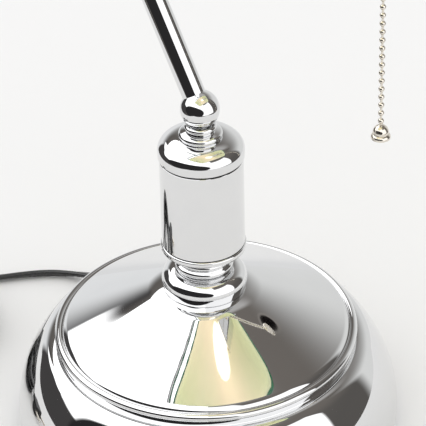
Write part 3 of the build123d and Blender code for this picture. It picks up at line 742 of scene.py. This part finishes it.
def paintSeamShade(piece, finish):
    # painted shade: the faces inside the two steps take a near-black finish that stands for the shade in the seams
    shape = columnShape
    foot, top = heights("column_sleeve")
    piece.data.materials.append(finish)
    for face in piece.data.polygons:
        height = face.center.z / mm
        inside = math.hypot(face.center.x, face.center.y) / mm < shape["sleeve"] - shape["sleeveEdge"]
        if inside and (height < foot + 2 * shape["lowSeam"] or height > top - 2 * shape["highSeam"]):
            face.material_index = 1


def capOutline():
    # an upright band, then a quarter of an ellipse up to the neck
    shape = columnShape
    top = heights("column_cap")[1]
    seat = heights("column_sleeve")[1]
    band = seat + shape["capBand"]
    edge = shape["capEdge"]
    across = shape["rim"] - shape["neckFoot"]
    outline = [(shape["bore"], seat), (shape["rim"] - edge, seat)]
    outline += arcPoints((shape["rim"] - edge, seat + edge), edge, -90, 0, 5)[1:]
    for cosine, sine in arcPoints((0, 0), 1, 0, 90, 24):
        outline.append((shape["neckFoot"] + across * cosine, band + (top - band) * sine))
    outline += [(shape["bore"], top), (shape["bore"], seat)]
    return outline


# Neck: each stop is a radius less than the foot's or the neck's, and a share of the way up
neckShape = {
    "ringTop": (0.6, 0.42),
    "ringBulge": 0.95,
    "groove": (0.9, 0.52),
    "grooveRise": 0.6,
    "topInset": 0.8,
    "topBulge": 0.8,
    "bore": (5.2, 5.05),
    "boreDrop": 1.0,
}


def neckOutline():
    shape = neckShape
    foot, top = heights("neck")
    rise = top - foot
    footRadius = columnShape["neckFoot"]
    grooveRadius = columnShape["neck"] - shape["groove"][0]
    groove = foot + rise * shape["groove"][1]
    grooveEnd = (grooveRadius, groove + shape["grooveRise"])
    outline = bowed((footRadius, foot), (footRadius - shape["ringTop"][0], foot + rise * shape["ringTop"][1]),
                    shape["ringBulge"], 10)
    outline += [(grooveRadius, groove)]
    outline += bowed(grooveEnd, (columnShape["neck"] - shape["topInset"], top), shape["topBulge"], 8)
    outline += [(shape["bore"][0], top - shape["boreDrop"]), (shape["bore"][1], foot), outline[0]]
    return outline


def ballOutline():
    return arcPoints((0, ballCentre), columnShape["ball"], -90, 90, 48)


ballCentre = heights("neck")[1] + columnShape["ball"] - columnShape["ballSink"]
for node, name, outline in (
        ("base_collar", "roundedCollar", collarOutline()),
        ("waist_ring", "turnedWaist", waistOutline()),
        ("column_rim", "columnRim", rimOutline()),
        ("column_sleeve", "columnSleeve", sleeveOutline()),
        ("column_cap", "domedCap", capOutline()),
        ("neck", "neckRings", neckOutline()),
        ("knuckle_ball", "polishedBall", ballOutline())):
    piece = standsFor(turnedPiece(name, outline, turns=columnShape["turns"]), node, chrome)
    if node == "column_sleeve":
        # the sleeve's seam steps get painted shade
        paintSeamShade(piece, metalFinish("paintedSeamShade"))
print("column turned")


# Bell on the chain: a round top, a short flare and a thin brim, hollow under it
bellShape = {
    "crownShare": 0.82,
    "crownEnd": -14,
    "flare": -0.35,
    "brimTop": 7.0,
    "brim": ((0.0, 7.5), (0.3, 7.7), (0.9, 7.5), (1.5, 6.6)),
    "hollowTop": 6.2,
    "turns": 64,
}


def bellOutline():
    shape = bellShape
    top = high("chain_bell")[2] / mm
    radius = (high("chain_bell")[0] - low("chain_bell")[0]) / mm / 2
    crown = radius * shape["crownShare"]
    outline = arcPoints((0, top - crown), crown, 90, shape["crownEnd"], 24)
    outline += bowed(outline[-1], (radius, top - shape["brimTop"]), shape["flare"], 8)[1:]
    outline += [(radius - inward, top - down) for inward, down in shape["brim"]]
    outline.append((0, top - shape["hollowTop"]))
    return outline


chainBell = turnedPiece("chainBell", bellOutline(), turns=bellShape["turns"], centre=middle("chain_bell") / mm)
standsFor(chainBell, "chain_bell", nickel)
print("bell turned")


# Arm and yoke: tubes drawn from a circle, pushed straight and spun round each bend
armShape = {
    "radius": 6.0,
    "lean": 30.0,
    "start": 7.0,
    "lower": 111.6,
    "bend": 70.0,
    "end": 5.4,
    "sides": 96,
    "bendSteps": 40,
}
yokeShape = {"radius": 5.0, "corner": 30.0, "sides": 80, "bendSteps": 24}
tubeSharpAngle = 40


def discAt(name, radius, sides, place, along):
    # a flat disc, left in edit mode ready to be pushed on
    nothingSelected()
    tilt = Vector((0, 0, 1)).rotation_difference(Vector(along)).to_euler()
    bpy.ops.mesh.primitive_circle_add(vertices=sides, radius=radius * mm, location=Vector(place) * mm, rotation=tilt,
                                      fill_type="NGON")
    bpy.ops.object.transform_apply()
    disc = bpy.context.object
    disc.name = name
    bpy.ops.object.mode_set(mode="EDIT")
    bpy.ops.mesh.select_all(action="SELECT")
    return disc


def pushOn(step):
    bpy.ops.mesh.extrude_region_move(TRANSFORM_OT_translate={"value": Vector(step) * mm})


def bendTube(centre, axis, angle, steps):
    # spin goes round the other way here, so the angle is taken as negative
    bpy.ops.mesh.spin(steps=steps, angle=-math.radians(angle), center=Vector(centre) * mm, axis=axis)


def makeArm():
    shape = armShape
    lean = math.radians(shape["lean"])
    up = Vector((0, math.sin(lean), math.cos(lean)))
    start = Vector((0, 0, ballCentre)) + up * shape["start"]
    bendStart = Vector((0, 0, ballCentre)) + up * shape["lower"]
    inward = Vector((0, -math.cos(lean), math.sin(lean)))
    bendCentre = bendStart + inward * shape["bend"]
    tube = discAt("bentArm", shape["radius"], shape["sides"], start, up)
    pushOn(bendStart - start)
    bendTube(bendCentre, (1, 0, 0), 2 * shape["lean"], shape["bendSteps"])
    hubPlace = Vector((0, high("yoke_tube")[1] / mm - yokeShape["radius"], middle("yoke_tube")[2] / mm))
    onward = Vector((0, -math.sin(lean), math.cos(lean)))
    bendEnd = Vector((0, bendStart[1], bendStart[2] + 2 * shape["bend"] * math.sin(lean)))
    pushOn(hubPlace - onward * shape["end"] - bendEnd)
    finishMesh(tube, tubeSharpAngle)
    standsFor(tube, "arm_tube", chrome)


def makeYoke():
    shape = yokeShape
    lowCorner = Vector(low("yoke_tube")) / mm
    highCorner = Vector(high("yoke_tube")) / mm
    radius = shape["radius"]
    side = highCorner[0] - radius
    back = highCorner[1] - radius
    front = lowCorner[1]
    level = highCorner[2] - radius
    corner = shape["corner"]
    tube = discAt("yokeTube", radius, shape["sides"], (-side, front, level), (0, 1, 0))
    pushOn((0, back - corner - front, 0))
    bendTube((-side + corner, back - corner, level), (0, 0, -1), 90, shape["bendSteps"])
    pushOn((2 * (side - corner), 0, 0))
    bendTube((side - corner, back - corner, level), (0, 0, -1), 90, shape["bendSteps"])
    pushOn((0, front - back + corner, 0))
    finishMesh(tube, tubeSharpAngle)
    standsFor(tube, "yoke_tube", chrome)


makeArm()
makeYoke()
print("arm and yoke bent")


# Shade: a drum with rounded ends, cut in half, its skirt drawn down, then given its wall
shadeShape = {
    "endRound": 26.0,
    "endShare": 0.9,
    "wall": 3.4,
    "sides": 160,
    "roundSteps": 14,
    "sharpAngle": 40,
}


def makeShade():
    shape = shadeShape
    lowCorner = Vector(low("shade_glass")) / mm
    highCorner = Vector(high("shade_glass")) / mm
    half = (highCorner[1] - lowCorner[1]) / 2
    centreY = (highCorner[1] + lowCorner[1]) / 2
    level = highCorner[2] - half
    end = highCorner[0]
    rounding = shape["endRound"]
    rings = [(-end, half - rounding)]
    for step in range(1, shape["roundSteps"] + 1):
        angle = math.pi / 2 * step / shape["roundSteps"]
        rings.append((-end + rounding * (1 - math.cos(angle)), half - rounding + rounding * math.sin(angle)))
    rings += [(-place, radius) for place, radius in reversed(rings)]
    place, radius = -end, (half - rounding) * shape["endShare"]
    shade = discAt("casedShade", radius, shape["sides"], (place, centreY, level), (1, 0, 0))
    for nextPlace, nextRadius in rings + [(end, radius)]:
        pushOn((nextPlace - place, 0, 0))
        widen = nextRadius / radius
        bpy.ops.transform.resize(value=(1, widen, widen), center_override=(nextPlace * mm, centreY * mm, level * mm))
        place, radius = nextPlace, nextRadius
    bpy.ops.mesh.select_all(action="SELECT")
    bpy.ops.mesh.bisect(plane_co=(0, 0, level * mm), plane_no=(0, 0, 1), clear_inner=True)
    bpy.ops.mesh.select_all(action="DESELECT")
    bpy.ops.mesh.select_mode(type="EDGE")
    bpy.ops.object.mode_set(mode="OBJECT")
    for edge in shade.data.edges:
        ends = [shade.data.vertices[number].co for number in edge.vertices]
        edge.select = all(abs(corner.z - level * mm) < sameSpot for corner in ends)
    bpy.ops.object.mode_set(mode="EDIT")
    pushOn((0, 0, lowCorner[2] - level))
    finishMesh(shade, shape["sharpAngle"])
    crown = max(shade.data.polygons, key=lambda face: face.center.z)
    if crown.normal.z < 0:
        bpy.ops.object.mode_set(mode="EDIT")
        bpy.ops.mesh.select_all(action="SELECT")
        bpy.ops.mesh.flip_normals()
        bpy.ops.object.mode_set(mode="OBJECT")
    standsFor(shade, "shade_glass", greenGlassFinish())
    # the inner layer carries the painted lamp light and glow
    shade.data.materials.append(opalGlassPaintedLightFinish())
    wall = shade.modifiers.new("wall", "SOLIDIFY")
    wall.thickness = shape["wall"] * mm
    wall.offset = -1
    wall.material_offset = 1
    wall.material_offset_rim = 0
    onlyThis(shade)
    bpy.ops.object.modifier_apply(modifier="wall")


makeShade()
print("shade made")

for finish, painted in (
        (chrome, ("yoke_hub", "yoke_eye_left", "yoke_eye_right", "knob_left", "knob_right", "shade_bushes",
                  "bush_rings", "lampholder_cap", "lampholder_body", "lampholder_sleeve")),
        (steel, ("base_plate", "base_washer", "base_nut", "rod_spacer", "threaded_rod", "stud_left", "stud_right",
                 "inner_nut", "bulb_cap")),
        (brass, ("lampholder_liner", "lampholder_contact", "bulb_contact", "chain_guide", "pull_lever")),
        (nickel, ("pull_chain", "chain_coupling")),
        (fibre, ("friction_washers", "inner_washers")),
        (phenolic, ("switch_block",)),
        (feltFinish(), ("felt_pad",)),
        (castFinish(), ("base_weight",)),
        (flex, ("inner_lead",)),
        (pearlGlassFinish(), ("bulb_glass",))):
    for node in painted:
        repaint(node, finish)
print("nodes painted")


# Studio: a white table, and a world that holds the soft panels and the dark room round them
studio = {
    "tableColour": (0.90, 0.897, 0.893),
    "tableMottle": 0.995,
    "tableFarColour": (0.81, 0.813, 0.815),
    "tableFade": (0.46, 0.8),
    "tableLeft": 0.45,
    "tableRight": 0.55,
    "tableFront": 0.66,
    "tableBehind": 5.0,
    "fill": 1.05,
    "cameraWhite": (0.905, 0.90, 0.893),
}

# directions in degrees as seen from the camera; a plain edge is followed by how soft it is, and a change
# by the size of it
room = {
    "toRight": (-22, 26),
    "backdropFade": ((9, 2), (28, 25)),
    "backdropSides": ((-40, 3), (66, 5)),
    "backdropColours": ((0.90, 0.91, 0.915), (0.825, 0.83, 0.82)),
    "leftPanelFoot": 23,
    "leftPanelDip": ((-54, -76), -11),
    "leftPanelSide": -32,
    "leftPanelSlant": ((18, 36), -10),
    "leftPanelReach": ((32.5, 37), 38),
    "leftPanelTop": (86, 1.5),
    "leftPanelWhite": 1.9,
    "rightPanel": ((101, 1.2), (178, 3), (-12, 1.2), (47, 2)),
    "overCamera": ((150, 3), (20, 1.5), (66, 2)),
    "rightPanelWhite": 1.5,
    "front": ((214, 56), (5, 30)),
    "frontEdge": (0.93, 1.07),
    "frontColour": (0.028, 0.027, 0.028),
    "gap": ((-30, 3), (-96, 3), (30, 5)),
    "gapColour": (0.065, 0.062, 0.062),
    "ceiling": ((-34, 6), (42, 8), (48, 6)),
    "ceilingColour": (0.5, 0.49, 0.48),
    "walls": ((10, 60), (0.115, 0.108, 0.101), (0.182, 0.165, 0.150)),
    "overhead": ((62, 80), (0.36, 0.35, 0.34)),
    "opening": (52.4, 48.6),
    "openingLong": (0.070, 0.207),
    "openingWide": (1.50, -1.16),
    "openingRim": ((1.9, 1.3), (0.27, 0.25, 0.23)),
    "openingInside": ((1.1, 0.8), (0.006, 0.005, 0.005)),
}


def fromView(azimuth, elevation):
    # a direction given as seen from the camera: 0 is straight behind the lamp, plus is to the right
    azimuth = math.radians(azimuth)
    elevation = math.radians(elevation)
    sideways = math.sin(azimuth) * math.cos(elevation)
    behind = math.cos(azimuth) * math.cos(elevation)
    half = math.sqrt(0.5)     # the camera looks across the part's corner
    return Vector((half * (sideways + behind), -half * (sideways - behind), math.sin(elevation)))


def makeTable():
    # a white sheet, square to the camera, from just before the lamp to far behind it, greyer out of sight
    width = studio["tableLeft"] + studio["tableRight"]
    depth = studio["tableFront"] + studio["tableBehind"]
    nothingSelected()
    bpy.ops.mesh.primitive_plane_add(size=1, location=(0, 0, 0))
    table = bpy.context.object
    table.name = "whiteTable"
    bpy.ops.transform.resize(value=(width, depth, 1))
    bpy.ops.object.transform_apply()
    table.rotation_euler = (0, 0, math.radians(camera["azimuth"]))
    table.location = (fromView(90, 0) * (studio["tableRight"] - studio["tableLeft"]) / 2
                      + fromView(0, 0) * (studio["tableBehind"] - studio["tableFront"]) / 2)
    bpy.ops.object.transform_apply()
    finish, tree, shader, where = newFinish("whiteTableTop")
    paper = addNoise(tree, where, 60, 3.0)
    first = tuple(value * studio["tableMottle"] for value in studio["tableColour"])
    near = addBlend(tree, paper.outputs["Fac"], first, studio["tableColour"])
    behind = addWork(tree, "VectorMath", "DOT_PRODUCT")
    tree.links.new(where.outputs["Object"], behind.inputs[0])
    behind.inputs[1].default_value = fromView(0, 0)
    fade = tree.nodes.new("ShaderNodeMix")
    fade.data_type = "RGBA"
    tree.links.new(addRange(tree, behind.outputs["Value"], 0, 1, *studio["tableFade"]), fade.inputs["Factor"])
    tree.links.new(near, fade.inputs["A"])
    fade.inputs["B"].default_value = (*studio["tableFarColour"], 1)
    tree.links.new(fade.outputs["Result"], shader.inputs["Base Color"])
    setInputs(shader, {"Roughness": 0.6, "Specular IOR Level": 0.0})
    table.data.materials.append(finish)


class worldPainter:
    # works out directions as seen from the camera side, in degrees, and blends soft regions by them
    def __init__(self):
        world = bpy.data.worlds.new("studioWorld")
        bpy.context.scene.world = world
        world.use_nodes = True
        world.cycles.sampling_method = "NONE"     # so that diffuse rays meet only the even fill
        self.tree = world.node_tree
        self.tree.nodes.clear()
        where = self.tree.nodes.new("ShaderNodeTexCoord")
        self.direction = where.outputs["Generated"]
        self.side = self.along(fromView(90, 0))
        self.behind = self.along(fromView(0, 0))
        self.height = self.along((0, 0, 1))
        self.azimuth = self.work("MULTIPLY", self.work("ARCTAN2", self.side, self.behind), 180 / math.pi)
        self.elevation = self.work("MULTIPLY", self.work("ARCSINE", self.height), 180 / math.pi)

    def feed(self, socket, value):
        if isinstance(value, (int, float)):
            socket.default_value = value
        elif isinstance(value, tuple):
            socket.default_value = (*value, 1)
        else:
            self.tree.links.new(value, socket)

    def work(self, operation, *values):
        node = addWork(self.tree, "Math", operation)
        for socket, value in zip(node.inputs, values):
            self.feed(socket, value)
        return node.outputs[0]

    def along(self, vector):
        node = addWork(self.tree, "VectorMath", "DOT_PRODUCT")
        self.tree.links.new(self.direction, node.inputs[0])
        node.inputs[1].default_value = vector
        return node.outputs["Value"]

    def smooth(self, value, start, end):
        # 0 at start, 1 at end, eased
        node = self.tree.nodes.new("ShaderNodeMapRange")
        node.interpolation_type = "SMOOTHSTEP"
        for name, number in (("From Min", start), ("From Max", end), ("Value", value)):
            self.feed(node.inputs[name], number)
        return node.outputs["Result"]

    def above(self, value, edge, soft=1.0):
        return self.smooth(self.work("SUBTRACT", value, edge), -soft, soft)

    def below(self, value, edge, soft=1.0):
        return self.smooth(self.work("SUBTRACT", edge, value), -soft, soft)

    def both(self, *regions):
        result = regions[0]
        for region in regions[1:]:
            result = self.work("MULTIPLY", result, region)
        return result

    def line(self, value, slope, start):
        return self.work("ADD", self.work("MULTIPLY", value, slope), start)

    def mixed(self, first, second, shares):
        return self.work("ADD", self.work("MULTIPLY", first, shares[0]), self.work("MULTIPLY", second, shares[1]))

    def fromMiddle(self, *measures):
        # the square of how far from the middle of an ellipse; each measure is a value, its middle and half size
        parts = [self.work("DIVIDE", self.work("SUBTRACT", value, centre), size) for value, centre, size in measures]
        return self.work("ADD", *[self.work("MULTIPLY", part, part) for part in parts])

    def blend(self, factor, first, second):
        node = self.tree.nodes.new("ShaderNodeMix")
        node.data_type = "RGBA"
        for name, value in (("Factor", factor), ("A", first), ("B", second)):
            self.feed(node.inputs[name], value)
        return node.outputs["Result"]


def paintWorld():
    paint = worldPainter()
    azimuth = paint.azimuth
    elevation = paint.elevation
    toRight = paint.smooth(azimuth, *room["toRight"])
    # the backdrop behind the lamp, white low down, fading sooner on the left than on the right
    (startLeft, startMore), (endLeft, endMore) = room["backdropFade"]
    fadeStart = paint.line(toRight, startMore, startLeft)
    fadeEnd = paint.line(toRight, endMore, endLeft)
    left, right = room["backdropSides"]
    backdrop = paint.both(paint.work("SUBTRACT", 1.0, paint.smooth(elevation, fadeStart, fadeEnd)),
                          paint.above(azimuth, *left), paint.below(azimuth, *right))
    # the large soft panel on the left: its foot dips, and its side leans away before it reaches over the lamp
    foot = paint.line(paint.smooth(azimuth, *room["leftPanelDip"][0]), room["leftPanelDip"][1],
                      room["leftPanelFoot"])
    slant = paint.line(paint.smooth(elevation, *room["leftPanelSlant"][0]), room["leftPanelSlant"][1],
                       room["leftPanelSide"])
    reach = paint.line(paint.smooth(elevation, *room["leftPanelReach"][0]), room["leftPanelReach"][1], 0)
    side = paint.work("ADD", slant, reach)
    leftPanel = paint.both(paint.above(paint.work("SUBTRACT", elevation, foot), 0, 0.8),
                           paint.above(paint.work("SUBTRACT", side, azimuth), 0, 0.8),
                           paint.below(elevation, *room["leftPanelTop"]))
    # the panel at front right, and the band over the camera that joins the two
    left, right, bottom, top = room["rightPanel"]
    rightPanel = paint.both(paint.above(azimuth, *left), paint.below(azimuth, *right),
                            paint.above(elevation, *bottom), paint.below(elevation, *top))
    left, bottom, top = room["overCamera"]
    overCamera = paint.both(paint.above(azimuth, *left), paint.above(elevation, *bottom),
                            paint.below(elevation, *top))
    # darker parts: the gap left of the backdrop, and the round dark side where the camera stands
    right, left, top = room["gap"]
    gap = paint.both(paint.below(azimuth, *right), paint.above(azimuth, *left), paint.below(elevation, *top))
    frontSize = paint.fromMiddle((paint.work("FLOORED_MODULO", azimuth, 360), *room["front"][0]),
                                 (elevation, *room["front"][1]))
    notFront = paint.smooth(frontSize, *room["frontEdge"])
    # a lighter ceiling behind the lamp, and a small dark opening on the right
    left, right, bottom = room["ceiling"]
    ceiling = paint.both(paint.above(azimuth, *left), paint.below(azimuth, *right), paint.above(elevation, *bottom))
    aside = paint.work("SUBTRACT", azimuth, room["opening"][0])
    over = paint.work("SUBTRACT", elevation, room["opening"][1])
    opening = paint.fromMiddle((paint.mixed(aside, over, room["openingLong"]), 0, 1),
                               (paint.mixed(aside, over, room["openingWide"]), 0, 1))
    rise, lowColour, highColour = room["walls"]
    seen = paint.blend(paint.smooth(elevation, *rise), lowColour, highColour)
    seen = paint.blend(ceiling, seen, room["ceilingColour"])
    seen = paint.blend(paint.smooth(elevation, *room["overhead"][0]), seen, room["overhead"][1])
    seen = paint.blend(gap, seen, room["gapColour"])
    seen = paint.blend(paint.work("SUBTRACT", 1, notFront), seen, room["frontColour"])
    seen = paint.blend(backdrop, seen, paint.blend(toRight, *room["backdropColours"]))
    seen = paint.blend(paint.smooth(opening, *room["openingRim"][0]), seen, room["openingRim"][1])
    seen = paint.blend(paint.smooth(opening, *room["openingInside"][0]), seen, room["openingInside"][1])
    seen = paint.blend(paint.both(notFront, paint.work("MAXIMUM", rightPanel, overCamera)), seen,
                       (room["rightPanelWhite"],) * 3)
    seen = paint.blend(paint.both(notFront, leftPanel), seen, (room["leftPanelWhite"],) * 3)
    tree = paint.tree
    ray = tree.nodes.new("ShaderNodeLightPath")
    reflected = tree.nodes.new("ShaderNodeBackground")
    tree.links.new(seen, reflected.inputs["Color"])
    filling = tree.nodes.new("ShaderNodeBackground")
    setInputs(filling, {"Color": (1, 1, 1, 1), "Strength": studio["fill"]})
    plain = tree.nodes.new("ShaderNodeBackground")
    plain.inputs["Color"].default_value = (*studio["cameraWhite"], 1)
    # diffuse rays meet the even fill, camera rays plain white, all others the room
    light = reflected
    for rays, background in (("Is Diffuse Ray", filling), ("Is Camera Ray", plain)):
        mix = tree.nodes.new("ShaderNodeMixShader")
        tree.links.new(ray.outputs[rays], mix.inputs["Fac"])
        tree.links.new(light.outputs[0], mix.inputs[1])
        tree.links.new(background.outputs[0], mix.inputs[2])
        light = mix
    out = tree.nodes.new("ShaderNodeOutputWorld")
    tree.links.new(light.outputs[0], out.inputs["Surface"])


makeTable()
paintWorld()
bpy.context.scene.view_settings.view_transform = "Standard"
print("studio set")
